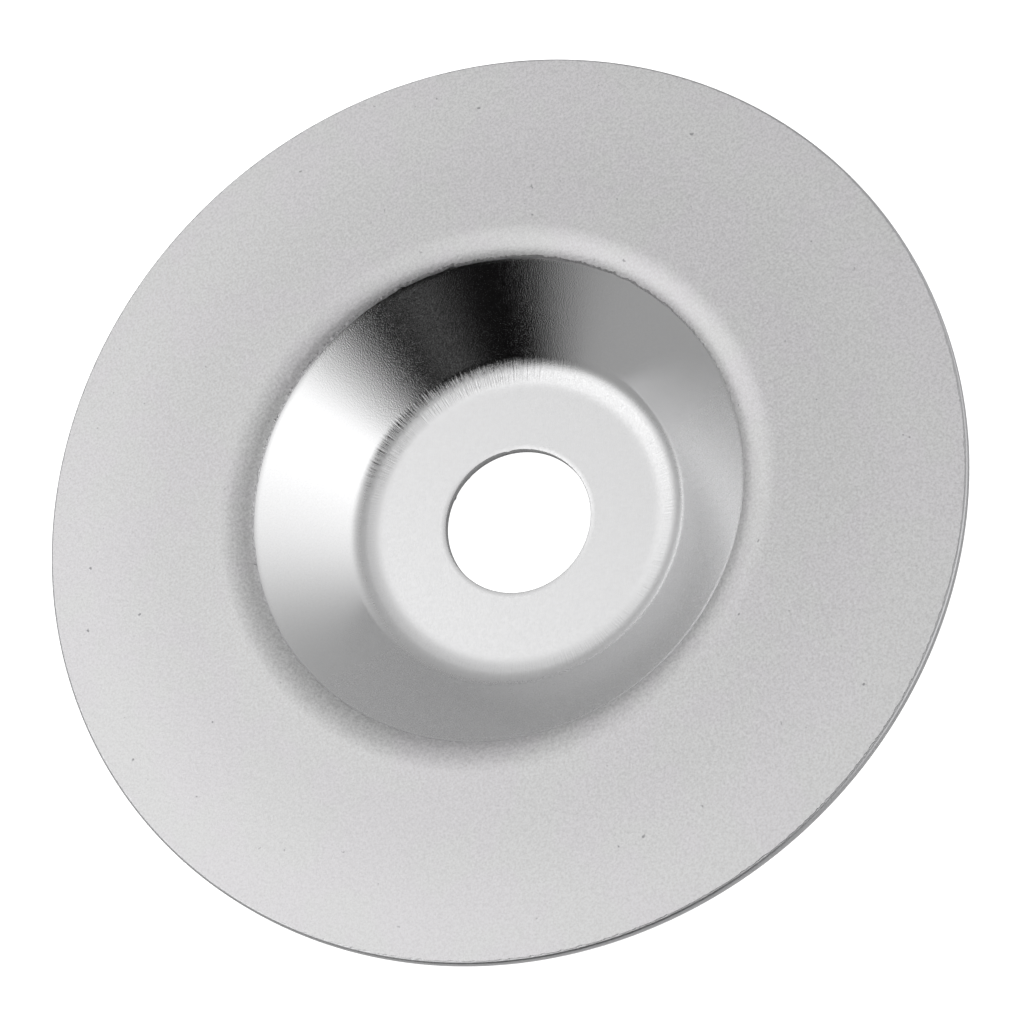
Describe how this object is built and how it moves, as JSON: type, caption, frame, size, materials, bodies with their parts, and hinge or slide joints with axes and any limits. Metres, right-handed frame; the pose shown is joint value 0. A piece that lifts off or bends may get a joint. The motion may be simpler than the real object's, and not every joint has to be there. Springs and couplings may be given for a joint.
{
  "type": "dish-shaped diamond grinding wheel",
  "caption": "Dish-shaped electroplated diamond grinding wheel: pressed steel dish with a central bore, polished cone wall and a flat grit-coated annulus.",
  "frame": {"origin": "centre of the bore at the back face of the hub, the face that seats on the grinder's flange", "axes": "+Z along the wheel's axis, out of the recessed working side; X and Y are any two square directions across the wheel"},
  "size_m": [0.1, 0.1, 0.0108],
  "materials": {
    "pressed_steel": "bright nickel-flashed pressed steel: satin hub with radial die marks, mirror-polished cone wall",
    "nickel_plate": "dull, slightly nodular nickel plate",
    "diamond_abrasive": "matte pale grey, fine even grit about 0.2 mm across"
  },
  "bodies": {
    "root": {"disc_body": "pressed_steel", "nickel_bond": "nickel_plate", "diamond_grit": "diamond_abrasive"}
  },
  "joints": []
}
